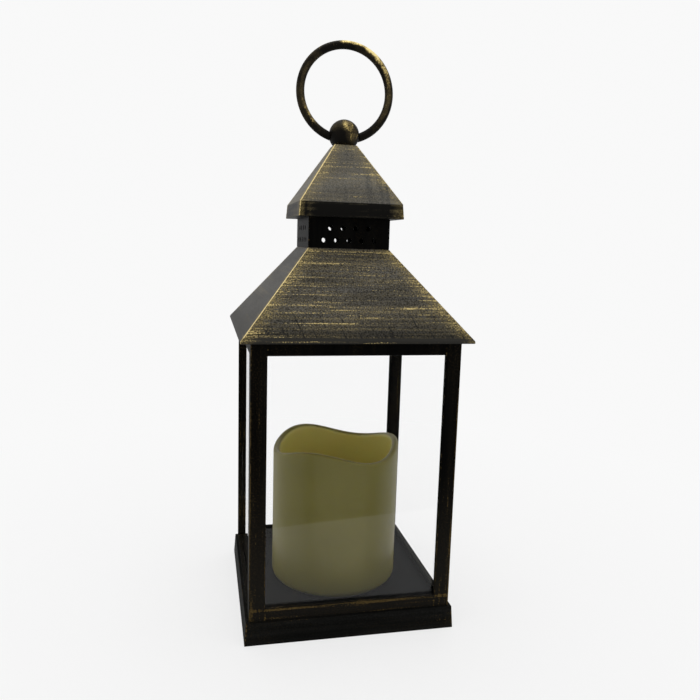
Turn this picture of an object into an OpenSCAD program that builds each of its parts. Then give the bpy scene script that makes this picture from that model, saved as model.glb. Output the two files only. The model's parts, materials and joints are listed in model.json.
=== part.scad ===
// LED candle lantern: a square moulded cage on a plinth, under a two-stage
// roof with a pierced vent collar, a ball finial and a swinging carrying ring.
// Inside stands a battery candle with a wavy rim. Millimetres, +Z up, front
// towards -Y, origin on the standing surface under the middle of the plinth.

/* [Cage] */
// Width and depth of the cage over its walls
cage_w = 120; // [110:1:150]
// Height of the cage walls from plinth to eave
cage_h = 161; // [130:1:220]
// Thickness of the cage walls
wall_t = 2.6; // [2.4:0.1:4]
// Width of a corner post on each face
post_w = 9.2; // [7:0.1:14]
// Height of the front and back sills
sill_h = 6.8; // [3:0.1:12]
// Height of the low curbs on the two open sides
curb_h = 1.7; // [1:0.1:4]
// Height of the headers under the eave
header_h = 7.3; // [4:0.1:14]
// Thickness of the clear panes
pane_t = 1; // [0.6:0.1:1.6]

/* [Plinth] */
// Height of the plinth
plinth_h = 13.4; // [12.6:0.1:20]
// Ledge of the plinth's top past the cage walls
plinth_ledge = 1.7; // [1:0.1:4]
// Extra width of the plinth's foot on each side
plinth_flare = 0.9; // [0:0.1:3]
// Drop of the deck below the plinth's rim
deck_drop = 2; // [1:0.1:2.4]
// Thickness of the deck
deck_t = 2.2; // [1.6:0.1:3]
// Thickness of the skirt
skirt_t = 2.4; // [2:0.1:3]
// Thickness of the bottom cover and the battery door
cover_t = 2; // [1.8:0.1:2.6]
// Height of the cover's underside above the standing surface
cover_lift = 0.8; // [0.6:0.1:1.2]

/* [Lower roof] */
// Overhang of the eave past the cage walls
eave_over = 5.85; // [3:0.05:12]
// Height of the eave's upright edge
eave_t = 1.4; // [0.8:0.1:3]
// Height of the lower roof
roof_h = 51.1; // [30:0.1:80]
// Level thickness of the roof's sloping shell
roof_wall = 2.6; // [2:0.1:4]
// Thickness of the ring on the cage's walls and of the cap's flange
flange_t = 2.4; // [1.6:0.1:4]

/* [Vent collar] */
// Width of the collar
collar_w = 49; // [44:0.5:60]
// Height of the collar
collar_h = 17.9; // [16:0.1:26]
// Thickness of the collar's walls
collar_wall = 2.6; // [2:0.1:3.5]
// Diameter of a vent hole
vent_d = 3.1; // [2.5:0.1:4.6]
// Pitch of the vent holes
vent_pitch = 7.5; // [6:0.1:8]
// Holes in the lower row; the upper row has one fewer
vent_count = 5; // [3:1:5]
// Height of the lower row above the collar's foot
vent_rise = 4.7; // [4.4:0.1:6]
// Height from the lower row to the upper row
vent_gap = 7.1; // [6:0.1:8]
// Depth of the collar's spigots in the roof and the cap
spigot_h = 3; // [1.5:0.1:4]

/* [Cap] */
// Overhang of the cap's lip past the collar
lip_over = 6.7; // [4:0.1:12]
// Height of the lip
lip_h = 8.6; // [6:0.1:14]
// Draft of the lip on each side
lip_draft = 0.7; // [0:0.1:1.5]
// Height of the cap's slopes
cap_h = 35.3; // [24:0.1:50]
// Width of the flat apex
apex_w = 13.7; // [11:0.1:16]
// Thickness of the apex under the ball
apex_t = 4; // [3:0.1:6]

/* [Ball and ring] */
// Diameter of the ball finial
ball_d = 18.6; // [17:0.1:22]
// Diameter of the ring at the middle of its wire
ring_d = 54.8; // [44:0.1:64]
// Diameter of the ring's wire
wire_d = 5; // [4:0.1:6]
// Diameter of the ring's two pivot pins
pivot_d = 3.2; // [2.4:0.1:3.6]
// Depth of a pivot pin in the ball
pivot_in = 4.4; // [3:0.1:5]
// Space between the ring's hollowed ends and the ball
ring_gap = 0.4; // [0.3:0.05:1]
// Distance from the ball to the middle of the wire, at the pivot's height
ring_out = 2; // [1:0.1:3]

/* [Candle] */
// Diameter of the candle
candle_d = 81; // [78:0.5:90]
// Height of the candle to the middle of its wavy rim
candle_h = 88.6; // [75:0.1:120]
// Height of the rim's waves
rim_wave = 3.5; // [0.5:0.1:5]
// Number of waves round the rim
rim_lobes = 3; // [2:1:5]
// Thickness of the candle's wall
candle_wall = 4.4; // [2.2:0.1:4.6]
// Radius of the rounded foot
candle_round = 5; // [2:0.1:5.5]
// Depth of the well under the rim
well_depth = 40; // [25:0.5:50]
// Width of the ledge that carries the well's floor
well_ledge = 0.9; // [0.8:0.1:2]
// Thickness of the well's floor
well_t = 2; // [1:0.1:3]

/* [Power] */
// Diameter of a cell
cell_d = 10.5; // [10:0.1:11]
// Length of a cell with its cap
cell_l = 44.5; // [43:0.1:46]
// Number of cells
cell_count = 3; // [2:1:3]
// Wall thickness of the battery box
box_wall = 1.6; // [1.2:0.1:2]
// Free length of a contact spring
spring_l = 5; // [4:0.1:7]
// Turns of a contact spring
spring_turns = 4; // [3:1:6]
// Wire diameter of a contact spring
spring_wire = 0.7; // [0.5:0.05:0.8]
// Outer diameter of the stem that carries the light
stem_d = 10; // [9:0.1:12]
// Diameter of the light's body
led_d = 5; // [4:0.1:5.6]
// Travel of the switch knob each way
switch_travel = 2; // [1:0.1:2.5]
// Insulated diameter of a wire
lead_d = 1.2; // [0.8:0.1:1.4]

/* [Fits] */
// Gap round pieces that drop into place
fit_gap = 0.15; // [0.1:0.05:0.25]
// Radial clearance of the ring's pins and of the screws
run_gap = 0.05; // [0.03:0.01:0.08]
// Gap round the battery door and the switch knob
door_gap = 0.35; // [0.3:0.05:0.6]

/* [Hidden] */
$fn = 64;
eps = 0.01;
// How far a cut runs past the face it leaves, and the space past a screw's tip
over = 1;
tip_gap = 0.5;

// Colours of the mouldings
bronze = "#3a352c";
bronze_dark = "#1f1d1a";
ivory = "#d8d0ae";
clear = [0.9, 0.95, 1, 0.25];
steel = "#b9bcc0";

// Levels, from the standing surface up
cover_top = cover_lift + cover_t;
deck_z = plinth_h - deck_drop;
under_z = deck_z - deck_t;
eave_z = plinth_h + cage_h;
collar_z = eave_z + roof_h;
cap_z = collar_z + collar_h;
slope_z = cap_z + lip_h;
apex_z = slope_z + cap_h;

// Plan sizes
cage_in = cage_w - 2 * wall_t;
bay = cage_w - 2 * post_w;
plinth_top_w = cage_w + 2 * plinth_ledge;
plinth_w = plinth_top_w + 2 * plinth_flare;
cavity_w = plinth_top_w - 2 * skirt_t;
eave_w = cage_w + 2 * eave_over;
throat_w = collar_w - 2 * collar_wall;
spigot_w = throat_w - 2 * fit_gap;
spigot_wall = 1.6;
lip_w = collar_w + 2 * lip_over;
lip_top_w = lip_w - 2 * lip_draft;
pane_h = eave_z - fit_gap - deck_z;
pane_lap = 2.5;

// Tenons of the frames in the plinth's rim
tenon = [5, 1.2, 2.6];

// Screws: shank radius, head radius, head height
cover_screw = [1.5, 2.8, 1.2];
candle_screw = [1.3, 2.4, 1.5];
board_screw = [0.9, 1.7, 0.9];
finial_screw_r = [1.5, 3, 2.2];
door_screw_r = [1.2, 2.3, 1];
cover_boss_r = 3.6;
cover_boss_in = 10;
cover_boss_at = cavity_w / 2 - cover_boss_in;
cover_bite = 4.6;

// Ball and ring
ball_r = ball_d / 2;
ball_seat_in = 0.06;
ball_seat_r = apex_w / 2 - ball_seat_in;
ball_z = apex_z + sqrt(ball_r * ball_r - ball_seat_r * ball_seat_r);
ring_r = ring_d / 2;
wire_r = wire_d / 2;
pivot_r = pivot_d / 2;
ring_end_angle = asin((ball_r - wire_r) / ring_r);
ring_z = ball_z + sqrt(pow(ring_r, 2) - pow(ball_r + ring_out, 2));
finial_bite = 4.3;
pivot_tip_gap = 0.3;
pivot_bury = 0.8;

// Candle
candle_r = candle_d / 2;
rim_z = deck_z + candle_h;
well_z = rim_z - well_depth;
well_r = candle_r - candle_wall;
ledge_r = well_r - well_ledge;
candle_boss_r = 3.4;
candle_boss_h = 10;
boss_bury = 0.2;
candle_boss_at = ledge_r - candle_boss_r + 4 * boss_bury;
candle_bite = 7;
locate_wall = 1.4;
locate_h = 2;

// Battery box, with the cells lying along X
cell_gap = 0.7;
cell_lift = 0.5;
cell_nub = [3.8, 0.8];
cell_pitch = cell_d + cell_gap;
plate_w = 8;
plate_t = 0.5;
spring_r = [3.6, 2.4];
box_in = [cell_l + spring_l + plate_t, cell_count * cell_pitch, cell_d + 2 * cell_lift];
box_out = [box_in[0] + 2 * box_wall, box_in[1] + 2 * box_wall];
box_top = cover_top + box_in[2] + box_wall;
cell_z = cover_top + cell_lift + cell_d / 2;
flange_y = 1.8;
box_flange_t = 1.6;
box_leg_t = 2;

// Battery door, hinged at its -X end
door_barrel_r = cover_t / 2;
door_pin_r = 0.6;
door_pin_l = 3;
door_lap = [2.4, 8, 1.5];
door_x0 = -box_out[0] / 2 - door_lap[0];
door_x1 = box_out[0] / 2 + door_lap[1];
door_w = box_out[1] + 2 * door_lap[2];
door_z = cover_lift + cover_t / 2;
door_boss_r = 2.6;
door_boss_gap = 1.2;
door_screw_x = box_out[0] / 2 + door_boss_r + door_boss_gap;
door_bite = 3.4;
thumb_r = 5;
cover_land = 1.5;
box_leg_x = door_x1 + door_gap + cover_land;

// Light and its stem
stem_r = stem_d / 2;
stem_wall = 1.4;
stem_foot_w = 3;
stem_foot_t = 1.6;
stem_proud = 1.5;
stem_top = well_z + well_t + stem_proud;
led_r = led_d / 2;
led_rim = [0.45, 1];
led_h = 4.6;
led_leg_r = 0.3;
led_leg_l = 8;
led_leg_x = 1.27;

// Switch and circuit board, behind the battery box
switch_back = 13;
switch_y = door_w / 2 + switch_back;
board = [26, 13, 1.2];
board_gap = 0.3;
board_z = under_z - board_gap - board[2];
board_screw_x = 10;
board_boss_r = 2.2;
deck_skin = 0.6;
board_bite = board_gap + deck_t - deck_skin;
knob = [3, 3];
knob_foot = [4.6, 4.2, 1.2];
switch_wall = 0.9;
switch_z = cover_top + fit_gap;
switch_in = [knob_foot[0] + 2 * switch_travel + 2 * door_gap, knob_foot[1] + 2 * door_gap];
switch_out = [switch_in[0] + 2 * switch_wall, switch_in[1] + 2 * switch_wall];
knob_slot = [knob[0] + 2 * switch_travel + 2 * door_gap, knob[1] + 2 * door_gap];
lead_hole_r = 3;
lead_edge = 2;
lead_y = switch_y - board[1] / 2 + lead_edge;

// Route of the leads from the board to the light, seen from +X, as [y, z]
lead_route = [[lead_y, board_z + board[2]], [lead_y, deck_z + 8], [lead_y - 2, deck_z + 14],
    [stem_r + 6, deck_z + 21], [stem_r - 1, deck_z + 25], [1, deck_z + 30],
    [0, stem_top - led_leg_l - 4], [0, stem_top - led_leg_l]];
slot_z = deck_z + 19;
slot_h = 14;
slot_w = 4.6;

// A square block centred on the axis, standing at height z
module block(w, d, h, z = 0) {
    translate([-w / 2, -d / 2, z]) cube([w, d, h]);
}

// A square frustum that narrows from w0 to w1
module taper(w0, w1, h, z = 0) {
    translate([0, 0, z]) linear_extrude(height = h, scale = w1 / w0) square(w0, center = true);
}

// A screw whose head is at z and whose shank points up
module screw(sizes, length, z) {
    translate([0, 0, z]) cylinder(r = sizes[1], h = sizes[2]);
    translate([0, 0, z + sizes[2] - eps]) cylinder(r = sizes[0], h = length + eps);
}

// Four copies at the corners of a square
module corners(at) {
    for (sx = [-1, 1], sy = [-1, 1]) translate([sx * at, sy * at, 0]) children();
}

function unit(v) = v / norm(v);

// Direction of a route at one of its points
function along(route, i) =
    unit(route[min(i + 1, len(route) - 1)] - route[max(i - 1, 0)]);

// One ring of points round a route, for routes that never run along X
function ring_points(route, i, r, sides) =
    let (t = along(route, i), u = unit(cross(t, [1, 0, 0])), v = cross(u, t))
    [for (k = [0 : sides - 1]) let (a = 360 * k / sides) route[i] + r * (cos(a) * u + sin(a) * v)];

// A round tube swept along a route
module swept(route, r, sides = 8) {
    last = len(route) - 1;
    points = [for (i = [0 : last]) each ring_points(route, i, r, sides)];
    walls = [for (i = [0 : last - 1], k = [0 : sides - 1]) let (m = (k + 1) % sides, a = i * sides)
        [[a + k, a + sides + m, a + m], [a + k, a + sides + k, a + sides + m]]];
    polyhedron(points, concat([for (pair = walls) each pair],
        [[for (k = [0 : sides - 1]) k]],
        [[for (k = [sides - 1 : -1 : 0]) last * sides + k]]), convexity = 6);
}

// Plinth: a drafted skirt with a sunk deck, bosses and mortises
module plinth() color(bronze_dark) difference() {
    union() {
        difference() {
            taper(plinth_w, plinth_top_w, plinth_h);
            block(cage_in, cage_in, deck_drop + eps, deck_z);
            block(cavity_w, cavity_w, under_z + eps, -eps);
        }
        corners(cover_boss_at) translate([0, 0, cover_top])
            cylinder(r = cover_boss_r, h = under_z - cover_top + eps);
        for (sx = [-1, 1]) translate([sx * board_screw_x, switch_y, under_z - board_gap])
            cylinder(r = board_boss_r, h = board_gap + eps);
        translate([0, 0, deck_z - eps]) difference() {
            cylinder(r = ledge_r - fit_gap, h = locate_h + eps);
            translate([0, 0, -eps]) cylinder(r = ledge_r - fit_gap - locate_wall, h = locate_h + 3 * eps);
            for (a = [45 : 90 : 315]) rotate(a) translate([candle_boss_at, 0, -eps])
                cylinder(r = candle_boss_r + fit_gap, h = locate_h + 3 * eps);
        }
    }
    corners(cover_boss_at) translate([0, 0, cover_top - eps])
        cylinder(r = cover_screw[0] + run_gap, h = cover_bite + eps);
    block(box_out[0] + 2 * fit_gap, box_out[1] + 2 * fit_gap, plinth_h, cover_top);
    for (a = [45 : 90 : 315]) rotate(a) translate([candle_boss_at, 0, under_z - over])
        cylinder(r = candle_screw[0] + run_gap, h = deck_t + 2 * over);
    for (sx = [-1, 1]) translate([sx * board_screw_x, switch_y, under_z - board_gap - eps])
        cylinder(r = board_screw[0] + run_gap, h = board_bite + eps);
    translate([0, lead_y, under_z - over]) cylinder(r = lead_hole_r, h = deck_t + 2 * over);
    for (a = [0, 180]) rotate(a) tenons(fit_gap);
}

// The two tenons under a frame's posts, or their mortises with a gap
module tenons(gap) {
    for (sx = [-1, 1])
        translate([sx * (cage_w - post_w) / 2, (wall_t - cage_w) / 2, plinth_h - tenon[2] / 2 - gap / 2])
            cube([tenon[0] + 2 * gap, tenon[1] + 2 * gap, tenon[2] + gap + 2 * eps], center = true);
}

module bottom_cover() color(bronze_dark) {
    difference() {
        block(cavity_w - 2 * fit_gap, cavity_w - 2 * fit_gap, cover_t, cover_lift);
        translate([door_x0 - door_barrel_r - door_gap, -door_w / 2 - door_gap, 0])
            cube([door_x1 - door_x0 + door_barrel_r + 2 * door_gap, door_w + 2 * door_gap,
                cover_top + over]);
        translate([door_x0, 0, door_z]) rotate([90, 0, 0])
            cylinder(r = door_pin_r + run_gap, h = door_w + 2 * door_pin_l + 2 * tip_gap, center = true);
        corners(cover_boss_at) {
            translate([0, 0, cover_lift - eps])
                cylinder(r = cover_screw[1] + fit_gap, h = cover_screw[2] + eps);
            cylinder(r = cover_screw[0] + fit_gap, h = cover_top + over);
        }
        translate([0, switch_y, 0]) block(knob_slot[0], knob_slot[1], cover_top + over);
    }
}

module cover_screws() color(steel)
    corners(cover_boss_at) screw(cover_screw, cover_t - cover_screw[2] + cover_bite - tip_gap, cover_lift);

// A flat portal with a sill and a header, on two tenons
module portal() color(bronze) {
    difference() {
        translate([-cage_w / 2, -cage_w / 2, plinth_h]) cube([cage_w, wall_t, cage_h]);
        translate([-bay / 2, -cage_w / 2 - over, plinth_h + sill_h])
            cube([bay, wall_t + 2 * over, cage_h - sill_h - header_h]);
    }
    tenons(0);
}

// The front portal has a return along each side
module front_frame() {
    portal();
    for (sx = [-1, 1]) color(bronze) translate([sx * (cage_w - wall_t) / 2, (post_w - cage_w) / 2, 0])
        block(wall_t, post_w, cage_h, plinth_h);
}

module back_frame() rotate(180) portal();

// A bar between a return of the front frame and the back frame, on the +X side
module side_bar(h, z) color(bronze)
    translate([cage_in / 2, -bay / 2, z]) cube([wall_t, (bay + cage_in) / 2, h]);

module right_curb() side_bar(curb_h, plinth_h);

module left_curb() mirror([1, 0, 0]) right_curb();

module right_header() side_bar(header_h, eave_z - header_h);

module left_header() mirror([1, 0, 0]) right_header();

// Clear panes stand on the deck, just inside the cage walls
module front_pane() color(clear)
    translate([-cage_in / 2 + fit_gap, -cage_in / 2 + fit_gap, deck_z])
        cube([cage_in - 2 * fit_gap, pane_t, pane_h]);

module back_pane() rotate(180) front_pane();

module right_pane() color(clear)
    translate([cage_in / 2 - fit_gap - pane_t, -cage_in / 2 + pane_t + 2 * fit_gap, deck_z])
        cube([pane_t, cage_in - 2 * pane_t - 4 * fit_gap, pane_h]);

module left_pane() rotate(180) right_pane();

// Width of the space under the lower roof at a height above the eave
function roof_in(h) = let (foot_w = eave_w - 2 * roof_wall) foot_w + (throat_w - foot_w) * h / roof_h;

// Top ring: a flat square frame on the cage's walls and panes, which carries the roof
module top_ring() color(bronze_dark) difference() {
    taper(roof_in(0) - 2 * fit_gap, roof_in(flange_t) - 2 * fit_gap, flange_t, eave_z);
    block(cage_in - 2 * pane_lap, cage_in - 2 * pane_lap, flange_t + 2 * over, eave_z - over);
}

// Lower roof: a hollow square hood with an upright eave edge
module lower_roof() color(bronze) difference() {
    union() {
        block(eave_w, eave_w, eave_t + eps, eave_z);
        taper(eave_w, collar_w, roof_h - eave_t, eave_z + eave_t);
    }
    taper(roof_in(-over), roof_in(roof_h + over), roof_h + 2 * over, eave_z - over);
}

// Vent collar: a square pierced tube with a spigot at each end
module vent_collar() color(bronze_dark) difference() {
    union() {
        block(collar_w, collar_w, collar_h, collar_z);
        block(spigot_w, spigot_w, collar_h + 2 * spigot_h, collar_z - spigot_h);
    }
    block(spigot_w - 2 * spigot_wall, spigot_w - 2 * spigot_wall, collar_h + 2 * (spigot_h + over),
        collar_z - spigot_h - over);
    block(throat_w, throat_w, collar_h - 2 * spigot_wall, collar_z + spigot_wall);
    for (turn = [0, 90], row = [0, 1], i = [0 : vent_count - 1 - row])
        rotate(turn)
            translate([(i - (vent_count - 1 - row) / 2) * vent_pitch, 0,
                collar_z + vent_rise + row * vent_gap])
                rotate([90, 0, 0]) cylinder(d = vent_d, h = collar_w + 2 * over, center = true);
}

// Cap: a hollow pyramid over a drafted lip, closed by a flange
module roof_cap() color(bronze) difference() {
    inner_top_w = apex_w + (lip_top_w - apex_w) * apex_t / cap_h - 2 * roof_wall;
    union() {
        taper(lip_w, lip_top_w, lip_h + eps, cap_z);
        taper(lip_top_w, apex_w, cap_h, slope_z);
    }
    taper(lip_w - 2 * roof_wall, lip_top_w - 2 * roof_wall, lip_h - flange_t + eps, cap_z + flange_t);
    taper(lip_top_w - 2 * roof_wall, inner_top_w, cap_h - apex_t, slope_z);
    block(throat_w, throat_w, flange_t + over + eps, cap_z - over);
    translate([0, 0, apex_z - apex_t - over])
        cylinder(r = finial_screw_r[0] + fit_gap, h = apex_t + 2 * over);
}

module finial_screw() color(steel)
    screw(finial_screw_r, apex_t + finial_bite, apex_z - apex_t - finial_screw_r[2]);

// Ball with a flat seat, a screw hole below and a pivot hole in each side
module ball_finial() color(bronze_dark) difference() {
    translate([0, 0, ball_z]) sphere(r = ball_r);
    block(ball_d, ball_d, ball_d, apex_z - ball_d);
    translate([0, 0, apex_z - over])
        cylinder(r = finial_screw_r[0] + run_gap, h = over + finial_bite + tip_gap);
    for (side = [0, 180]) rotate(side) translate([ball_r - pivot_in - pivot_tip_gap, 0, ball_z])
        rotate([0, 90, 0]) cylinder(r = pivot_r + run_gap, h = ball_r);
}

// Ring of round wire: its ends are hollowed to clear the ball, which their two pins enter
module hanging_ring() color(bronze) {
    difference() {
        translate([0, 0, ring_z]) rotate([90, 0, 0]) rotate(ring_end_angle - 90)
            rotate_extrude(angle = 360 - 2 * ring_end_angle) translate([ring_r, 0]) circle(r = wire_r);
        translate([0, 0, ball_z]) sphere(r = ball_r + ring_gap);
    }
    for (side = [0, 180]) rotate(side) translate([ball_r - pivot_in, 0, ball_z]) rotate([0, 90, 0])
        cylinder(r = pivot_r, h = pivot_in + ring_gap + pivot_bury);
}

// Block above the wavy rim, which trims the candle's wall
module rim_cutter(steps = 72) {
    function rim_at(a) = rim_z + rim_wave * cos(rim_lobes * a);
    radii = [well_r - over, candle_r + over];
    tops = rim_z + 2 * rim_wave + 3 * over;
    function column(i) = let (a = 360 * i / steps, c = cos(a), s = sin(a))
        [[radii[0] * c, radii[0] * s, rim_at(a)], [radii[1] * c, radii[1] * s, rim_at(a)],
        [radii[1] * c, radii[1] * s, tops], [radii[0] * c, radii[0] * s, tops]];
    points = [for (i = [0 : steps - 1]) each column(i)];
    faces = [for (i = [0 : steps - 1], k = [0 : 3])
        let (a = 4 * i, b = 4 * ((i + 1) % steps), m = (k + 1) % 4)
        [[a + k, b + m, b + k], [a + k, a + m, b + m]]];
    polyhedron(points, [for (pair = faces) each pair], convexity = 6);
}

// Candle: a hollow pillar with a rounded foot, a ledge and four bosses
module candle_shell() color(ivory) difference() {
    height = candle_h + rim_wave + over;
    union() {
        translate([0, 0, deck_z]) rotate_extrude($fn = 96) difference() {
            union() {
                translate([0, candle_round]) square([candle_r, height - candle_round]);
                square([candle_r - candle_round, candle_round + eps]);
                translate([candle_r - candle_round, candle_round]) circle(r = candle_round);
            }
            translate([-candle_r, -candle_round]) square([candle_r + ledge_r, height + 2 * candle_round]);
            translate([0, well_z - deck_z]) square([well_r, height]);
        }
        intersection() {
            for (a = [45 : 90 : 315]) rotate(a) translate([candle_boss_at, 0, deck_z])
                cylinder(r = candle_boss_r, h = candle_boss_h);
            translate([0, 0, deck_z]) cylinder(r = ledge_r + boss_bury, h = candle_boss_h);
        }
    }
    for (a = [45 : 90 : 315]) rotate(a) translate([candle_boss_at, 0, deck_z - over])
        cylinder(r = candle_screw[0] + run_gap, h = candle_bite + over);
    rim_cutter();
}

module candle_screws() color(steel)
    for (a = [45 : 90 : 315]) rotate(a) translate([candle_boss_at, 0, 0])
        screw(candle_screw, deck_t + candle_bite - tip_gap, under_z - candle_screw[2]);

module well_floor() color(ivory) translate([0, 0, well_z]) difference() {
    cylinder(r = well_r - fit_gap, h = well_t, $fn = 96);
    translate([0, 0, -over]) cylinder(r = stem_r + fit_gap, h = well_t + 2 * over);
}

// Stem: a tube with a foot on the battery box and a slot for the leads
module led_stem() color(ivory) difference() {
    union() {
        translate([0, 0, box_top]) cylinder(r = stem_r + stem_foot_w, h = stem_foot_t);
        translate([0, 0, box_top]) cylinder(r = stem_r, h = stem_top - box_top);
    }
    translate([0, 0, box_top - over])
        cylinder(r = stem_r - stem_wall, h = stem_top - box_top - stem_wall + over);
    translate([0, 0, stem_top - 2 * stem_wall])
        cylinder(r = led_leg_x + 2 * led_leg_r, h = 3 * stem_wall);
    translate([-slot_w / 2, 0, slot_z]) cube([slot_w, stem_d, slot_h]);
}

// Light: a domed body on a rim, with two legs in the stem
module led_bulb() color("#f3e2b0") {
    translate([0, 0, stem_top]) rotate_extrude() {
        square([led_r + led_rim[0], led_rim[1]]);
        square([led_r, led_h]);
        intersection() {
            translate([0, led_h]) circle(r = led_r);
            translate([0, led_h - eps]) square(led_d);
        }
    }
    for (sx = [-1, 1]) translate([sx * led_leg_x, 0, stem_top - led_leg_l])
        cylinder(r = led_leg_r, h = led_leg_l + eps);
}

module led_wires() color("firebrick")
    for (sx = [-1, 1]) swept([for (p = lead_route) [sx * led_leg_x, p[0], p[1]]], lead_d / 2);

// Battery box, open below: a flange and two legs clamp it between deck and cover
module battery_box() color(bronze_dark) difference() {
    flange_d = box_out[1] + 2 * flange_y;
    union() {
        block(box_out[0], box_out[1], box_top - cover_top - door_gap, cover_top + door_gap);
        block(2 * (box_leg_x + box_leg_t), flange_d, box_flange_t, under_z - box_flange_t);
        for (sx = [-1, 1]) translate([sx * (box_leg_x + box_leg_t / 2), 0, 0])
            block(box_leg_t, flange_d, under_z - cover_top, cover_top);
        translate([door_screw_x, 0, cover_top + door_gap])
            cylinder(r = door_boss_r, h = under_z - cover_top - door_gap);
    }
    block(box_in[0], box_in[1], box_in[2] + over, cover_top - over);
    translate([door_screw_x, 0, cover_top - over])
        cylinder(r = door_screw_r[0] + 2 * door_gap, h = door_bite + over + 2 * tip_gap);
}

// Places the children once for each cell, turned end for end by turns
module each_cell() {
    for (i = [0 : cell_count - 1])
        translate([0, (i - (cell_count - 1) / 2) * cell_pitch, cell_z]) rotate(180 * (i % 2)) children();
}

module battery_cells() color("#7d8a6a") each_cell()
    translate([box_in[0] / 2 - plate_t - cell_l, 0, 0]) rotate([0, 90, 0]) {
        cylinder(d = cell_d, h = cell_l - cell_nub[1]);
        cylinder(d = cell_nub[0], h = cell_l);
    }

// Coil springs that press on the flat end of each cell
module contact_springs() color(steel) each_cell() {
    steps = spring_turns * 8;
    swept([for (i = [0 : steps]) let (a = 45 * i, r = spring_r[0] + (spring_r[1] - spring_r[0]) * i / steps)
        [-box_in[0] / 2 + spring_wire / 2 + (spring_l - spring_wire) * i / steps, r * cos(a), r * sin(a)]],
        spring_wire / 2, 6);
}

module contact_plates() color(steel) each_cell()
    translate([box_in[0] / 2 - plate_t, -plate_w / 2, -plate_w / 2]) cube([plate_t, plate_w, plate_w]);

// Battery door with hinge pins at one end and a screw at the other
module battery_door() color(bronze_dark) difference() {
    union() {
        translate([door_x0, -door_w / 2, cover_lift]) cube([door_x1 - door_x0, door_w, cover_t]);
        translate([door_x0, 0, door_z]) rotate([90, 0, 0]) {
            cylinder(r = door_barrel_r, h = door_w, center = true);
            cylinder(r = door_pin_r, h = door_w + 2 * door_pin_l, center = true);
        }
    }
    translate([door_screw_x, 0, cover_lift - eps]) {
        cylinder(r = door_screw_r[1] + fit_gap, h = door_screw_r[2] + eps);
        cylinder(r = door_screw_r[0] + run_gap, h = cover_t + over);
    }
    translate([door_x1, door_w / 4, cover_lift - eps]) cylinder(r = thumb_r, h = cover_t / 2);
}

module door_screw() color(steel) translate([door_screw_x, 0, 0])
    screw(door_screw_r, cover_t - door_screw_r[2] + door_bite, cover_lift);

module circuit_board() color("#2f5d3a") difference() {
    translate([0, switch_y, 0]) block(board[0], board[1], board[2], board_z);
    for (sx = [-1, 1]) translate([sx * board_screw_x, switch_y, board_z - over])
        cylinder(r = board_screw[0] + fit_gap, h = board[2] + 2 * over);
}

module board_screws() color(steel)
    for (sx = [-1, 1]) translate([sx * board_screw_x, switch_y, 0])
        screw(board_screw, board[2] + board_bite - tip_gap, board_z - board_screw[2]);

// Slide switch: a hollow body on the board with a knob below
module switch_body() color("#cfd2d6") translate([0, switch_y, 0]) difference() {
    block(switch_out[0], switch_out[1], board_z - switch_z, switch_z);
    block(switch_in[0], switch_in[1], board_z - switch_z - 2 * switch_wall, switch_z + switch_wall);
    block(knob_slot[0], knob_slot[1], 2 * switch_wall, switch_z - eps);
}

module switch_knob() color("#15161a") translate([0, switch_y, 0]) {
    foot_z = switch_z + switch_wall + fit_gap;
    block(knob_foot[0], knob_foot[1], knob_foot[2], foot_z);
    block(knob[0], knob[1], foot_z - cover_lift + eps, cover_lift);
}

plinth();
bottom_cover();
cover_screws();
front_frame();
back_frame();
left_curb();
right_curb();
left_header();
right_header();
front_pane();
back_pane();
left_pane();
right_pane();
top_ring();
lower_roof();
vent_collar();
roof_cap();
finial_screw();
ball_finial();
hanging_ring();
candle_shell();
candle_screws();
well_floor();
led_stem();
led_bulb();
led_wires();
battery_box();
battery_cells();
contact_springs();
contact_plates();
battery_door();
door_screw();
circuit_board();
board_screws();
switch_body();
switch_knob();
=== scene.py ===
import json
import math

import bpy
from mathutils import Matrix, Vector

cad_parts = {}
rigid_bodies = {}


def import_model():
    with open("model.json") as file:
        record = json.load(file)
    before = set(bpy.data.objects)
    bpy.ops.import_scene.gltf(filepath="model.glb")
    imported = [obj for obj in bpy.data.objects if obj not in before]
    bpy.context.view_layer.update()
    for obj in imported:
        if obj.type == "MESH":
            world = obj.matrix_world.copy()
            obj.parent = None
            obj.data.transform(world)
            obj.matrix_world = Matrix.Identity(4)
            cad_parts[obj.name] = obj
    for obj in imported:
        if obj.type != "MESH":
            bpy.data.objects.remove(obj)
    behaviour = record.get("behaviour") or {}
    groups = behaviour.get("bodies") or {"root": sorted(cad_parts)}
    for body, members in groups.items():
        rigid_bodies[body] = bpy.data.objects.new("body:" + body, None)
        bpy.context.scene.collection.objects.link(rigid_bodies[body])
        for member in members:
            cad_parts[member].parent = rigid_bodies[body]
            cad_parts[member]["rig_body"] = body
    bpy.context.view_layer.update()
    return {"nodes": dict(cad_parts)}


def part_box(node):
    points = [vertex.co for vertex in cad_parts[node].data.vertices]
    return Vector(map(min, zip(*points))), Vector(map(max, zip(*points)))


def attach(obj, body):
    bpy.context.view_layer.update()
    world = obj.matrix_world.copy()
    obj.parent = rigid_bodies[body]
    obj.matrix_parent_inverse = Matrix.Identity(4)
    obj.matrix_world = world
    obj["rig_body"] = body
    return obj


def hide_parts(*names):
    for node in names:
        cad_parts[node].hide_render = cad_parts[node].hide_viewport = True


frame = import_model()
nodes = frame["nodes"]
mm = 0.001
softRange = (0.3, 0.7)  # where a noise that mixes two tones starts, and where it is full
lineCore = 0.3  # share of a line's width that has its full amount
print("frame loaded:", len(nodes), "nodes")


# Node tree helpers: a socket is linked, anything else is set
def feed(tree, socket, value):
    if isinstance(value, bpy.types.NodeSocket):
        tree.links.new(value, socket)
    else:
        socket.default_value = value


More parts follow.
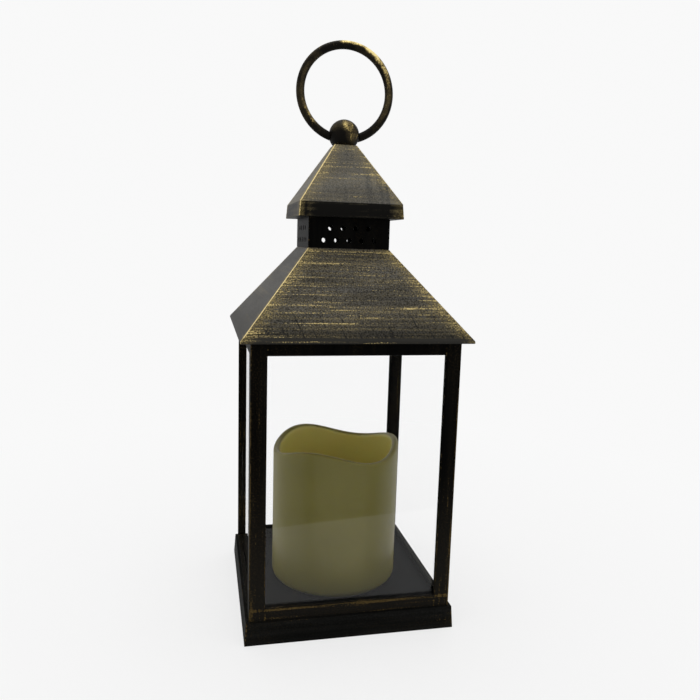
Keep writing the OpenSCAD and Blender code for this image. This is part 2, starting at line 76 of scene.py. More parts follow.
def put(tree, kind, inputs=None, **settings):
    node = tree.nodes.new("ShaderNode" + kind)
    for name, value in settings.items():
        setattr(node, name, value)
    for name, value in (inputs or {}).items():
        feed(tree, node.inputs[name], value)
    return node


def calc(tree, operation, first, second=0.0):
    return put(tree, "Math", {0: first, 1: second}, operation=operation).outputs[0]


def total(tree, start, *terms):  # start plus each value times its weight
    for value, weight in terms:
        start = put(tree, "Math", {0: value, 1: weight, 2: start}, operation="MULTIPLY_ADD").outputs[0]
    return start


def ramp(tree, value, low, high):  # smooth step from 0 at low to 1 at high, low may be the larger
    node = put(tree, "MapRange", {"Value": value, "From Min": low, "From Max": high},
               interpolation_type="SMOOTHSTEP")
    return node.outputs["Result"]


def line(tree, value, at, width):  # 1 where value is at, 0 from width away
    away = calc(tree, "ABSOLUTE", calc(tree, "SUBTRACT", value, at))
    return ramp(tree, away, width, lineCore * width)


def noise(tree, vector, scale, detail=3.0, roughness=0.55):
    inputs = {"Vector": vector, "Scale": scale, "Detail": detail, "Roughness": roughness}
    return put(tree, "TexNoise", inputs).outputs["Fac"]


def stretched(tree, vector, scale, detail=3.0, roughness=0.5):
    return noise(tree, put(tree, "Mapping", {"Vector": vector, "Scale": scale}).outputs["Vector"], 1.0,
                 detail, roughness)


def blend(tree, share, first, second):
    return put(tree, "Mix", {0: share, 2: first, 3: second}, data_type="FLOAT").outputs[0]


def mixTones(tree, share, first, second):
    node = put(tree, "Mix", {0: share}, data_type="RGBA")
    for socket, tone in ((node.inputs[6], first), (node.inputs[7], second)):
        feed(tree, socket, tone if isinstance(tone, bpy.types.NodeSocket) else (*tone, 1.0))
    return node.outputs[2]


def newFinish(name, look):
    finish = bpy.data.materials.new(name)
    finish.use_nodes = True
    tree = finish.node_tree
    skin = tree.nodes["Principled BSDF"]
    skin.inputs["Roughness"].default_value = look.get("roughness", 0.5)
    skin.inputs["Metallic"].default_value = look.get("metallic", 0.0)
    skin.inputs["Specular IOR Level"].default_value = look.get("gloss", 0.5)
    place = put(tree, "TexCoord").outputs["Object"]
    return finish, tree, skin, place


def relief(tree, skin, height, depth):
    bump = put(tree, "Bump", {"Height": height, "Distance": depth, "Strength": 1.0})
    tree.links.new(bump.outputs["Normal"], skin.inputs["Normal"])


# Dark plastic under gold: fine dust that lies in bands, and single strokes where it is worn or brushed
brush = {
    "bandRange": (0.4, 0.7), "lineRange": (0.42, 0.68), "grainRange": (0.35, 0.65),
    "strokeWear": 0.7, "grainWear": 0.3, "bandWear": 0.03,
    "brightRange": (0.1, 0.4),  # past the cut, where gold starts to turn bright, and where it is full
    "roughSpread": 0.2, "strokeRelief": 0.6, "grainRelief": 0.4,
}


def brushGold(tree, skin, place, look, tone, dustTone, strokes, dusty, worn):
    bands = ramp(tree, stretched(tree, place, look["bands"]), *brush["bandRange"])
    lines = ramp(tree, stretched(tree, place, look["lines"]), *brush["lineRange"])
    grain = noise(tree, place, look["grain"], 2.0)
    speckle = total(tree, look["film"], (ramp(tree, grain, *look["speckle"]), 1.0 - look["film"]))
    dusty = total(tree, dusty, (bands, look["band"]), (lines, look["line"]))
    dust = calc(tree, "MULTIPLY", speckle, calc(tree, "MAXIMUM", dusty, 0.0))
    worn = total(tree, worn, (strokes, brush["strokeWear"]), (grain, brush["grainWear"]),
                 (bands, brush["bandWear"]))
    gold = ramp(tree, worn, look["cut"], look["cut"] + look["soft"])
    metal = mixTones(tree, ramp(tree, grain, *brush["grainRange"]), look["goldDark"], look["gold"])
    # Brightest gold where the gold amount is highest; on the ring and ball this is partly a painted
    # highlight
    shine = ramp(tree, worn, *(look["cut"] + past for past in brush["brightRange"]))
    metal = mixTones(tree, shine, metal, look["bright"])
    tone = mixTones(tree, dust, tone, dustTone)
    feed(tree, skin.inputs["Base Color"], mixTones(tree, gold, tone, metal))
    feed(tree, skin.inputs["Metallic"], calc(tree, "MULTIPLY", gold, look["goldMetal"]))
    smoothest = look["roughness"] - brush["roughSpread"] / 2
    feed(tree, skin.inputs["Roughness"], total(tree, smoothest, (grain, brush["roughSpread"])))
    height = total(tree, 0.0, (strokes, brush["strokeRelief"]), (grain, brush["grainRelief"]))
    relief(tree, skin, height, look["relief"])


# Square mouldings: gold on hips and corners, thicker dust beside them, and worn level edges
moulding = {
    "sideRange": (0.5, 0.75),  # of the normal's X, where a face starts to count as a side, and is one
    "underRange": (-0.25, -0.45),  # of the normal's Z, the same for an underside
    "middle": 4 * mm,  # half the width over which the amounts of the left turn into those of the right
    "skinBlur": 0.4 * mm, "barBlur": 1 * mm, "deckBlur": 0.2 * mm, "smudgeFade": 8 * mm,
    "speckRange": (0.35, 0.65), "sideSpecks": 0.7,
    "sideWear": 0.2, "footWear": 0.3, "rimWear": 0.2, "underWear": 1.0, "underDust": 2.0,
}


def bronzeFinish(name, look):
    finish, tree, skin, place = newFinish(name, look)
    axes = put(tree, "SeparateXYZ", {"Vector": place}).outputs
    sideX = calc(tree, "ABSOLUTE", axes["X"])
    sideY = calc(tree, "ABSOLUTE", axes["Y"])
    outer = calc(tree, "MAXIMUM", sideX, sideY)
    inner = calc(tree, "MINIMUM", sideX, sideY)
    offHip = calc(tree, "SUBTRACT", outer, inner)
    facing = put(tree, "SeparateXYZ", {"Vector": put(tree, "NewGeometry").outputs["Normal"]}).outputs
    plain = ramp(tree, calc(tree, "ABSOLUTE", facing["X"]), *moulding["sideRange"])
    under = ramp(tree, facing["Z"], *moulding["underRange"])
    right = ramp(tree, axes["X"], -moulding["middle"], moulding["middle"])
    halo = ramp(tree, offHip, look["haloWidth"], 0.0)
    # Gold along the hips, from the left amount to the right; the strong left line on the roof and cap is
    # partly a painted highlight
    hip = total(tree, look["hip"], (right, look["hipRight"] - look["hip"]))
    edge = calc(tree, "MULTIPLY", line(tree, offHip, 0.0, look["hipWidth"]), hip)
    for value, lines in ((axes["Z"], look["levels"]), (inner, look["jambs"])):
        for at, width, leftAmount, rightAmount in lines:
            amount = total(tree, leftAmount, (right, rightAmount - leftAmount))
            share = calc(tree, "MULTIPLY", line(tree, value, at, width), amount)
            edge = calc(tree, "MAXIMUM", edge, share)
    skinned = ramp(tree, outer, look["skin"] - moulding["skinBlur"], look["skin"])
    edge = calc(tree, "MULTIPLY", edge, skinned)
    mottle = stretched(tree, place, look["mottle"], 4.0)
    tone = mixTones(tree, ramp(tree, mottle, *softRange), look["dark"], look["light"])
    # Tone towards the bottom: on the roof a painted shade, darker towards the eave; on the frame lighter
    # towards the sill
    height, reach, shade, fewer = look["foot"]
    foot = ramp(tree, axes["Z"], height + reach, height - reach)
    tone = mixTones(tree, foot, tone, shade)
    scale, amount = look["specks"]
    specks = ramp(tree, noise(tree, place, scale, 1.0), *moulding["speckRange"])
    amount = total(tree, amount, (plain, -moulding["sideSpecks"] * amount))
    specks = total(tree, calc(tree, "SUBTRACT", 1.0, amount), (calc(tree, "MULTIPLY", specks, 2.0), amount))
    tone = put(tree, "VectorMath", {0: tone, 1: specks}, operation="MULTIPLY").outputs[0]
    strokes = stretched(tree, place, look["strokes"])
    if look["bars"]:
        width, barStrokes = look["bars"]
        level = stretched(tree, place, barStrokes)
        upright = ramp(tree, inner, width, width + moulding["barBlur"])
        strokes = blend(tree, upright, level, strokes)
    # Deck tone: the plinth's own dark plastic with a slight blue, a painted reflection of the pale walls
    if look["deck"]:
        width, shade = look["deck"]
        tone = mixTones(tree, ramp(tree, outer, width, width - moulding["deckBlur"]), tone, shade)
    dusty = total(tree, look["dusty"], (halo, look["halo"]), (plain, -look["plain"]), (foot, -fewer))
    worn = total(tree, 0.0, (edge, 1.0), (halo, look["haloStrokes"]), (plain, -moulding["sideWear"]),
                 (foot, -moulding["footWear"] * fewer))
    if look["smudges"]:
        scale, lean, spread, rise, shade, amount = look["smudges"]
        along = blend(tree, plain, axes["X"], axes["Y"])
        along = total(tree, along, (axes["Z"], lean))
        face = put(tree, "CombineXYZ", {"X": along, "Z": axes["Z"]}).outputs["Vector"]
        smudge = ramp(tree, stretched(tree, face, scale), *spread)
        smudge = calc(tree, "MULTIPLY", smudge, ramp(tree, axes["Z"], rise + moulding["smudgeFade"], rise))
        tone = mixTones(tree, calc(tree, "MULTIPLY", smudge, amount), tone, shade)
        dusty = total(tree, dusty, (smudge, -amount))
    if look["rim"]:
        height, reach, shade, fewer = look["rim"]
        rim = ramp(tree, axes["Z"], height + reach, height)
        tone = mixTones(tree, rim, tone, shade)
        dusty = total(tree, dusty, (rim, -fewer))
        worn = calc(tree, "MULTIPLY", worn, total(tree, 1.0, (rim, -fewer)))
        worn = total(tree, worn, (rim, -moulding["rimWear"] * fewer))
    tone = mixTones(tree, under, tone, look["inside"])
    dusty = total(tree, dusty, (under, -moulding["underDust"]))
    worn = total(tree, worn, (under, -moulding["underWear"]))
    dustTone = mixTones(tree, halo, look["dust"], look["hipDust"])
    brushGold(tree, skin, place, look, tone, dustTone, strokes, dusty, worn)
    return finish


# Round pieces: worn gold together with painted highlights and painted sheen, where the surface lies towards
# one side, between two distances from a centre
def roundFinish(name, look):
    finish, tree, skin, place = newFinish(name, look)
    mottle = stretched(tree, place, look["mottle"], 4.0)
    tone = mixTones(tree, ramp(tree, mottle, *softRange), look["dark"], look["light"])
    dusty, worn = look["dusty"], 0.0
    arm = put(tree, "VectorMath", {0: place, 1: look["centre"]}, operation="SUBTRACT").outputs[0]
    away = put(tree, "VectorMath", {0: arm}, operation="LENGTH").outputs["Value"]
    # Each row adds dust and gold; on the ring and ball they stand for wear and also paint highlights and
    # sheen
    for towards, turn, band, dustAndSheen, wearAndHighlight in look["sides"]:
        lean = put(tree, "VectorMath", {0: arm, 1: towards}, operation="DOT_PRODUCT").outputs["Value"]
        share = ramp(tree, calc(tree, "DIVIDE", lean, away), *turn)
        if band:  # millimetres from the centre where the gold starts, is full, begins to fade, and ends
            starts, full, fades, ends = (distance * mm for distance in band)
            share = calc(tree, "MULTIPLY", share, ramp(tree, away, starts, full))
            share = calc(tree, "MULTIPLY", share, ramp(tree, away, ends, fades))
        dusty = total(tree, dusty, (share, dustAndSheen))
        worn = total(tree, worn, (share, wearAndHighlight))
    strokes = stretched(tree, place, look["strokes"])
    brushGold(tree, skin, place, look, tone, look["dust"], strokes, dusty, worn)
    return finish


# Even mouldings and metals: two tones in a soft mottle, over a fine grain
def evenFinish(name, look):
    finish, tree, skin, place = newFinish(name, look)
    mottle = stretched(tree, place, look["mottle"])
    tone = mixTones(tree, ramp(tree, mottle, *softRange), look["dark"], look["light"])
    feed(tree, skin.inputs["Base Color"], tone)
    relief(tree, skin, noise(tree, place, look["grain"], 2.0), look["relief"])
    return finish


# Ivory wax: darker and olive outside, a painted shade for the shade under the roof; lighter and yellower
# inside the well, a painted light for light through the wall bouncing inside
def waxFinish(name, look):
    finish, tree, skin, place = newFinish(name, look)
    flat = put(tree, "VectorMath", {0: place, 1: (1.0, 1.0, 0.0)}, operation="MULTIPLY").outputs[0]
    radius = put(tree, "VectorMath", {0: flat}, operation="LENGTH").outputs["Value"]
    clouds = noise(tree, place, look["clouds"], 4.0)
    # Outside: painted shade; inside the well: painted light
    outside = mixTones(tree, ramp(tree, clouds, *softRange), look["dark"], look["light"])
    inside = ramp(tree, radius, look["wellRadius"] + look["wellBlur"], look["wellRadius"])
    feed(tree, skin.inputs["Base Color"], mixTones(tree, inside, outside, look["well"]))
    skin.inputs["Subsurface Weight"].default_value = look["glow"]
    skin.inputs["Subsurface Radius"].default_value = look["glowTone"]
    skin.inputs["Subsurface Scale"].default_value = look["glowDepth"]
    relief(tree, skin, noise(tree, place, look["lumps"], 2.0), look["relief"])
    return finish


# Clear pane that lets lamps, bounced light and what is seen through another pane pass
def paneFinish(name, look):
    finish, tree, skin, place = newFinish(name, look)
    skin.inputs["Transmission Weight"].default_value = 1.0
    skin.inputs["IOR"].default_value = look["ior"]
    haze = noise(tree, place, look["haze"], 4.0)
    tone = mixTones(tree, ramp(tree, haze, *softRange), look["tint"], look["clear"])
    feed(tree, skin.inputs["Base Color"], tone)
    path = put(tree, "LightPath").outputs
    passing = calc(tree, "MAXIMUM", path["Is Shadow Ray"], path["Is Diffuse Ray"])
    behind = calc(tree, "GREATER_THAN", path["Transmission Depth"], look["behind"])
    passing = calc(tree, "MAXIMUM", passing, behind)
    bare = put(tree, "BsdfTransparent", {"Color": (*look["clear"], 1.0)})
    mix = put(tree, "MixShader", {0: passing, 1: skin.outputs["BSDF"], 2: bare.outputs["BSDF"]})
    tree.links.new(mix.outputs["Shader"], tree.nodes["Material Output"].inputs["Surface"])
    return finish


# Modelling helpers: distances at which points are merged, and degrees within which faces become one
merging = {"copied": 0.02 * mm, "turned": 0.002 * mm, "flat": 0.5}


def deselectAll():
    if bpy.context.object and bpy.context.object.mode != "OBJECT":
        bpy.ops.object.mode_set(mode="OBJECT")
    bpy.ops.object.select_all(action="DESELECT")


def pick(*pieces):
    deselectAll()
    for piece in pieces:
        piece.select_set(True)
    bpy.context.view_layer.objects.active = pieces[0]


def applyModifier(piece, kind, **settings):
    pick(piece)
    modifier = piece.modifiers.new(kind.lower(), kind)
    for name, value in settings.items():
        setattr(modifier, name, value)
    bpy.ops.object.modifier_apply(modifier=modifier.name)


def dress(piece, finish):
    piece.data.materials.clear()
    piece.data.materials.append(finish)


def standFor(piece, node, finish):
    dress(piece, finish)
    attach(piece, nodes[node]["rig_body"])
    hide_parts(node)


def solidCopy(node):
    piece = bpy.data.objects.new(node + "_dressed", nodes[node].data.copy())
    bpy.context.scene.collection.objects.link(piece)
    pick(piece)
    bpy.ops.object.mode_set(mode="EDIT")
    bpy.ops.mesh.select_all(action="SELECT")
    bpy.ops.mesh.customdata_custom_splitnormals_clear()
    bpy.ops.mesh.remove_doubles(threshold=merging["copied"])
    bpy.ops.mesh.dissolve_limited(angle_limit=math.radians(merging["flat"]))
    bpy.ops.object.mode_set(mode="OBJECT")
    return piece


def smooth(piece, degrees):
    pick(piece)
    bpy.ops.object.shade_smooth_by_angle(angle=math.radians(degrees))


# A moulding with eased edges: the node's own solid, merged, with a small round on each long sharp edge
easing = {"sharp": 35, "smooth": 40, "shortest": 1 * mm, "segments": 2}


def easedCopy(node, width, finish):
    piece = solidCopy(node)
    bpy.ops.object.mode_set(mode="EDIT")
    bpy.ops.mesh.select_mode(type="EDGE")
    bpy.ops.mesh.select_all(action="DESELECT")
    bpy.ops.mesh.edges_select_sharp(sharpness=math.radians(easing["sharp"]))
    bpy.ops.object.mode_set(mode="OBJECT")
    bpy.context.tool_settings.mesh_select_mode = (True, False, False)
    weights = piece.data.attributes.new("bevel_weight_edge", "FLOAT", "EDGE").data
    for edge in piece.data.edges:
        first, second = (piece.data.vertices[k].co for k in edge.vertices)
        weights[edge.index].value = float(edge.select and (first - second).length > easing["shortest"])
    applyModifier(piece, "BEVEL", width=width, segments=easing["segments"], limit_method="WEIGHT",
                  use_clamp_overlap=True)
    smooth(piece, easing["smooth"])
    applyModifier(piece, "WEIGHTED_NORMAL", keep_sharp=True)
    standFor(piece, node, finish)
    return piece


# A turned piece: an outline of radius and height is drawn point by point, closed, and spun round the axis
def turned(name, outline, steps):
    deselectAll()
    bpy.ops.mesh.primitive_plane_add(size=1 * mm)
    piece = bpy.context.object
    piece.name = name
    bpy.ops.object.mode_set(mode="EDIT")
    bpy.ops.mesh.select_all(action="SELECT")
    bpy.ops.mesh.merge(type="CENTER")
    bpy.ops.transform.translate(value=(outline[0][0], 0.0, outline[0][1]))
    for (r0, z0), (r1, z1) in zip(outline, outline[1:] + outline[:1]):
        bpy.ops.mesh.extrude_vertices_move(TRANSFORM_OT_translate={"value": (r1 - r0, 0.0, z1 - z0)})
    bpy.ops.mesh.select_all(action="SELECT")
    bpy.ops.mesh.remove_doubles(threshold=merging["turned"])
    bpy.ops.mesh.select_all(action="SELECT")
    bpy.ops.mesh.spin(steps=steps, angle=math.tau, center=(0.0, 0.0, 0.0), axis=(0.0, 0.0, 1.0))
    bpy.ops.mesh.select_all(action="SELECT")
    bpy.ops.mesh.remove_doubles(threshold=merging["turned"])
    bpy.ops.mesh.normals_make_consistent(inside=False)
    bpy.ops.object.mode_set(mode="OBJECT")
    return piece


def arc(centre, radii, start, stop, count):  # quarter turns and the like, angles in degrees
    angles = [math.radians(start + (stop - start) * k / count) for k in range(count + 1)]
    return [(centre[0] + radii[0] * math.cos(a), centre[1] + radii[1] * math.sin(a)) for a in angles]


# Camera
camera = {
    "place": (-0.085149, -0.423071, 0.227941),
    "turn": (81.1967, -1.6565, -12.1213),  # degrees
    "lens": 35.04,
    "sensor": 36.0,
}
deselectAll()
bpy.ops.object.camera_add(location=camera["place"], rotation=[math.radians(a) for a in camera["turn"]])
viewer = bpy.context.object
viewer.data.lens = camera["lens"]
viewer.data.sensor_width = camera["sensor"]
bpy.context.scene.camera = viewer
print("camera set")

# Studio: a white sweep, a soft lamp overhead, pale walls behind and beside, a dim room in front
studio = {
    "paper": 0.945,  # white as the camera sees it, and in a sharp reflection
    "through": 1.0,  # white as it is seen through a pane
    "behind": 0.8,
    "front": 0.75,
    "dark": 0.02,  # the room in front, in a sharp reflection
    "veil": 0.33,  # the sweep in front, in a sharp reflection
    "bounce": 0.8,
    "heading": (-0.5, 0.4),  # of a ray's Y, from the room in front to the walls behind
    "veilEdge": (-0.1, 0.0),
    "edgeAt": -36 * mm,
    "frontEdge": (-0.212, -0.155),  # where the sweep's front edge crosses edgeAt, and its slope
    "drop": 0.2 * mm,  # of the sweep below the standing surface
    "reach": 3.0,
    "shadow": 0.25,
    "shadowReach": (0.45, 0.12),
    "lampPlace": (0.0, 0.05, 1.0),
    "lampSize": 0.6,
    "lampPower": 2.0,
}


def seenWhite(tree, path):  # rays that reach the camera unreflected, and the white that they meet
    straight = calc(tree, "LESS_THAN", path["Glossy Depth"], 0.5)
    through = calc(tree, "MULTIPLY", path["Is Transmission Ray"], straight)
    white = total(tree, studio["paper"], (through, studio["through"] - studio["paper"]))
    return calc(tree, "MAXIMUM", path["Is Camera Ray"], through), white


def litWorld():
    world = bpy.data.worlds.new("studio")
    bpy.context.scene.world = world
    world.use_nodes = True
    tree = world.node_tree
    glow = tree.nodes["Background"]
    glow.inputs["Color"].default_value = (1.0, 1.0, 1.0, 1.0)
    path = put(tree, "LightPath").outputs
    heading = put(tree, "SeparateXYZ", {"Vector": put(tree, "TexCoord").outputs["Generated"]}).outputs["Y"]
    share = ramp(tree, heading, *studio["heading"])
    room = total(tree, studio["front"], (share, studio["behind"] - studio["front"]))
    mirrored = total(tree, studio["dark"], (share, studio["paper"] - studio["dark"]))
    seen, white = seenWhite(tree, path)
    strength = blend(tree, path["Is Singular Ray"], room, mirrored)
    strength = blend(tree, seen, strength, white)
    tree.links.new(strength, glow.inputs["Strength"])


def sweepFinish():
    finish, tree, skin, place = newFinish("white_sweep", {"roughness": 0.8, "gloss": 0.0})
    skin.inputs["Base Color"].default_value = (*[studio["bounce"]] * 3, 1.0)
    path = put(tree, "LightPath").outputs
    axes = put(tree, "SeparateXYZ", {"Vector": place}).outputs
    seen, white = seenWhite(tree, path)
    plain = put(tree, "Emission", {"Strength": white})
    matt = put(tree, "BsdfDiffuse", {"Color": (*[studio["paper"]] * 3, 1.0)})
    near = put(tree, "VectorMath", {0: place}, operation="LENGTH").outputs["Value"]
    share = calc(tree, "MULTIPLY", ramp(tree, near, *studio["shadowReach"]), studio["shadow"])
    ground = put(tree, "MixShader", {0: share, 1: plain.outputs[0], 2: matt.outputs[0]})
    beyond = ramp(tree, axes["Y"], *studio["veilEdge"])
    mirrored = total(tree, studio["veil"], (beyond, studio["paper"] - studio["veil"]))
    mirror = put(tree, "Emission", {"Strength": mirrored})
    inputs = {0: path["Is Singular Ray"], 1: skin.outputs["BSDF"], 2: mirror.outputs[0]}
    mix = put(tree, "MixShader", inputs)
    mix = put(tree, "MixShader", {0: seen, 1: mix.outputs[0], 2: ground.outputs[0]})
    tree.links.new(mix.outputs["Shader"], tree.nodes["Material Output"].inputs["Surface"])
    return finish


litWorld()
deselectAll()
bpy.ops.mesh.primitive_plane_add(size=2.0 * studio["reach"])
sweep = bpy.context.object
sweep.name = "sweep"
edgeY, edgeSlope = studio["frontEdge"]
for corner in sweep.data.vertices:
    if corner.co.y < 0.0:
        corner.co.y = edgeY + edgeSlope * (corner.co.x - studio["edgeAt"])
    corner.co.z = -studio["drop"]
dress(sweep, sweepFinish())
deselectAll()
bpy.ops.object.light_add(type="AREA", location=studio["lampPlace"])
lamp = bpy.context.object
lamp.data.size = studio["lampSize"]
lamp.data.energy = studio["lampPower"]
bpy.context.scene.view_settings.view_transform = "Standard"
print("studio lit")

# Bronze mouldings
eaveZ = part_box("lower_roof")[0].z
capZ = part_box("roof_cap")[0].z
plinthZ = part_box("plinth")[1].z
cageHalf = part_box("front_frame")[1].x
postWidth = 9.2 * mm
wallDepth = 2.6 * mm
bayHalf = cageHalf - postWidth
lipHeight = 8.6 * mm
roofLook = {
    "dark": (0.047, 0.044, 0.037), "light": (0.073, 0.069, 0.061), "dust": (0.225, 0.182, 0.094),
    "hipDust": (0.28, 0.215, 0.085), "goldDark": (0.26, 0.20, 0.09), "gold": (0.60, 0.47, 0.20),
    "bright": (0.82, 0.66, 0.32), "goldMetal": 0.25, "roughness": 0.45, "gloss": 0.04, "relief": 0.06 * mm,
    "grain": 1400.0, "film": 0.1, "speckle": (0.42, 0.66), "specks": (1250.0, 0.62),
    "mottle": (25.0, 25.0, 120.0), "strokes": (26.0, 26.0, 1300.0), "bands": (14.0, 14.0, 110.0),
    "band": 0.4, "lines": (11.0, 11.0, 800.0), "line": 0.6, "dusty": 0.05, "plain": 0.6,
    "cut": 0.58, "soft": 0.1, "halo": 0.8, "haloStrokes": 0.06, "haloWidth": 12 * mm,
    # hip: gold wear on the left hips, partly a painted highlight; hipRight: gold wear on the right hips
    "hip": 0.5, "hipRight": 0.06, "hipWidth": 0.7 * mm, "skin": 0.0,
    # foot: painted shade, the roof darker towards the eave
    "foot": (eaveZ + 10 * mm, 10 * mm, (0.020, 0.0185, 0.0145), 0.05),
    "rim": (eaveZ + 2.6 * mm, 1.2 * mm, (0.027, 0.0255, 0.022), 0.5),
    "smudges": ((420.0, 1.0, 60.0), 0.4, (0.57, 0.66), eaveZ + 9 * mm, (0.014, 0.013, 0.011), 0.85),
    "levels": [(eaveZ + 0.9 * mm, 0.9 * mm, 0.2, 0.36)], "jambs": [], "inside": (0.012, 0.0115, 0.0105),
    "bars": None, "deck": None,
}
capLook = {**roofLook, "dark": (0.090, 0.085, 0.073), "light": (0.122, 0.118, 0.105),
           "dust": (0.25, 0.21, 0.13), "hipDust": (0.34, 0.265, 0.11), "film": 0.3,
           "lines": (10.0, 10.0, 700.0), "line": 0.25, "band": 0.3,
           # hip: the left hips' gold line is partly a painted highlight
           "dusty": 0.02, "plain": -0.2, "halo": 0.45, "hip": 0.5, "hipRight": 0.12, "hipWidth": 0.9 * mm,
           "foot": (capZ, 1 * mm, (0.09, 0.085, 0.073), 0.0), "cut": 0.62, "specks": (1300.0, 0.3),
           "rim": (capZ + lipHeight - 0.4 * mm, 0.5 * mm, (0.0046, 0.0043, 0.0036), 0.3),
           "smudges": ((120.0, 1.0, 20.0), 0.0, (0.52, 0.7), capZ + 22 * mm, (0.05, 0.048, 0.042), 0.7),
           "levels": [(capZ + lipHeight, 0.7 * mm, 0.05, 0.05), (capZ, 0.5 * mm, 0.02, 0.02)]}
frameLook = {**roofLook, "dark": (0.0009, 0.0009, 0.0008), "light": (0.0026, 0.0025, 0.0021),
             "dust": (0.028, 0.020, 0.010), "hipDust": (0.028, 0.020, 0.010),
             "goldDark": (0.034, 0.023, 0.008), "gold": (0.085, 0.058, 0.022),
             "bright": (0.12, 0.085, 0.035), "goldMetal": 0.1, "gloss": 0.015,
             "mottle": (260.0, 260.0, 9.0), "film": 0.05, "grain": 1200.0, "speckle": (0.5, 0.64),
             "specks": (1300.0, 0.2), "strokes": (700.0, 700.0, 28.0), "lines": (600.0, 600.0, 14.0),
             "line": 0.3, "bands": (60.0, 60.0, 14.0), "dusty": -0.1, "plain": 0.1, "cut": 0.67,
             "halo": 0.25, "haloWidth": 9 * mm, "hip": 0.16, "hipRight": 0.16, "hipWidth": 1.2 * mm,
             "foot": (plinthZ + 55 * mm, 45 * mm, (0.0100, 0.0094, 0.0080), -0.25),
             "bars": (bayHalf, (28.0, 28.0, 700.0)),
             # levels and jambs: gold wear along the sill top and the window edges, partly a painted
             # highlight of their bevelled edges
             "levels": [(plinthZ + 6.4 * mm, 1.4 * mm, 0.14, 0.22)],
             "jambs": [(bayHalf, 0.8 * mm, 0.14, 0.14)],
             "skin": cageHalf - 0.1 * mm, "smudges": None, "rim": None}
curbLook = {**frameLook, "gloss": 0.008, "roughness": 0.25, "relief": 0.02 * mm}
plinthLook = {**frameLook, "dark": (0.0048, 0.0050, 0.0045), "light": (0.0100, 0.0100, 0.0092),
              "mottle": (12.0, 12.0, 300.0),
              "levels": [(plinthZ, 0.8 * mm, 0.1, 0.1)], "strokes": (40.0, 40.0, 800.0), "gloss": 0.01,
              "lines": (11.0, 11.0, 700.0), "bands": (14.0, 14.0, 150.0), "line": 0.25,
              "foot": (0.0, 1 * mm, (0.002, 0.002, 0.0017), 0.0), "jambs": [],
              # deck: slight blue as a painted reflection of the pale walls
              "deck": (cageHalf - wallDepth, (0.0095, 0.010, 0.0105)), "skin": cageHalf + 1.4 * mm}
collarLook = {**frameLook, "halo": 0.0, "hip": 0.06, "hipRight": 0.06, "levels": [], "jambs": [],
              "foot": (0.0, 1 * mm, (0.002, 0.002, 0.0017), 0.0), "line": 0.0, "gloss": 0.02,
              "skin": 24.0 * mm}
roofBronze = bronzeFinish("brushed_bronze_roof", roofLook)
capBronze = bronzeFinish("brushed_bronze_cap", capLook)
frameBronze = bronzeFinish("aged_bronze_frame", frameLook)
plinthBronze = bronzeFinish("aged_bronze_plinth", plinthLook)
collarBronze = bronzeFinish("aged_bronze_collar", collarLook)
curbBronze = bronzeFinish("aged_bronze_curb", curbLook)

eased = {
    "lower_roof": (0.5 * mm, roofBronze), "roof_cap": (0.5 * mm, capBronze),
    "vent_collar": (0.25 * mm, collarBronze), "plinth": (0.5 * mm, plinthBronze),
    "front_frame": (0.4 * mm, frameBronze), "back_frame": (0.4 * mm, frameBronze),
    "left_curb": (0.3 * mm, curbBronze), "right_curb": (0.3 * mm, curbBronze),
    "left_header": (0.3 * mm, frameBronze), "right_header": (0.3 * mm, frameBronze),
}
for node, (width, finish) in eased.items():
    easedCopy(node, width, finish)
print("bronze mouldings eased:", len(eased))

# Ball and ring, with worn gold where hands reach them, and painted highlights and sheen where light falls
# on them
ringCentre = tuple((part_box("hanging_ring")[0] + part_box("hanging_ring")[1]) / 2)
ballCentre = tuple((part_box("ball_finial")[0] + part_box("ball_finial")[1]) / 2)
# The dust tone here also paints the sheen on the ring and ball
ringLook = {**frameLook, "dark": (0.0012, 0.0011, 0.0010), "light": (0.0032, 0.0027, 0.0020),
            "gold": (0.85, 0.64, 0.23), "bright": (1.0, 0.82, 0.36), "goldDark": (0.30, 0.215, 0.075),
            "dust": (0.13, 0.098, 0.044), "goldMetal": 0.3, "gloss": 0.06, "grain": 1500.0,
            "lines": (90.0, 90.0, 90.0), "mottle": (60.0, 60.0, 60.0), "strokes": (260.0, 260.0, 260.0),
            "bands": (90.0, 90.0, 90.0), "cut": 0.62, "soft": 0.3, "dusty": 0.02,
            "film": 0.45, "speckle": (0.38, 0.66), "band": 0.15, "line": 0.1}
ringWearAndHighlights = [  # direction, cosines where it starts and is full, band, and amounts of dust and wear; the rows paint worn gold together with painted highlights, and the dust together with painted sheen
    ((0.3, 0.0, 0.95), (0.86, 0.97), (26.3, 28.3, 31.0, 32.0), 0.6, 0.38),
    ((0.77, 0.0, 0.64), (0.88, 0.98), (25.5, 27.0, 28.5, 29.5), 0.5, 0.27),
    ((0.99, 0.0, -0.1), (0.75, 0.95), (25.2, 26.6, 27.6, 28.8), 0.45, 0.06),
    ((-0.98, 0.0, 0.1), (0.8, 0.97), (25.4, 26.4, 27.4, 28.6), 0.35, 0.03),
    ((-0.45, 0.0, 0.89), (0.75, 0.95), (28.2, 29.3, 31.0, 32.0), 0.4, 0.0),
    ((-0.84, 0.0, -0.54), (0.92, 0.99), (24.8, 25.8, 26.8, 28.2), 0.6, 0.18),
]
ballWearAndHighlights = [
    ((0.07, -0.9, 0.43), (0.82, 1.0), None, 0.5, 0.28),
    ((0.42, -0.89, -0.17), (0.82, 1.0), None, 0.4, 0.1),
    ((-0.6, -0.5, 0.62), (0.7, 0.95), None, 0.2, 0.0),
]
ringBronze = roundFinish("bronze_ring_wear_and_painted_highlights", {**ringLook, "centre": ringCentre, "sides": ringWearAndHighlights})
ballBronze = roundFinish("bronze_ball_wear_and_painted_highlights", {
    **ringLook, "strokes": (300.0, 300.0, 90.0), "centre": ballCentre, "sides": ballWearAndHighlights})
dress(nodes["hanging_ring"], ringBronze)
dress(nodes["ball_finial"], ballBronze)
print("ring and ball dressed")

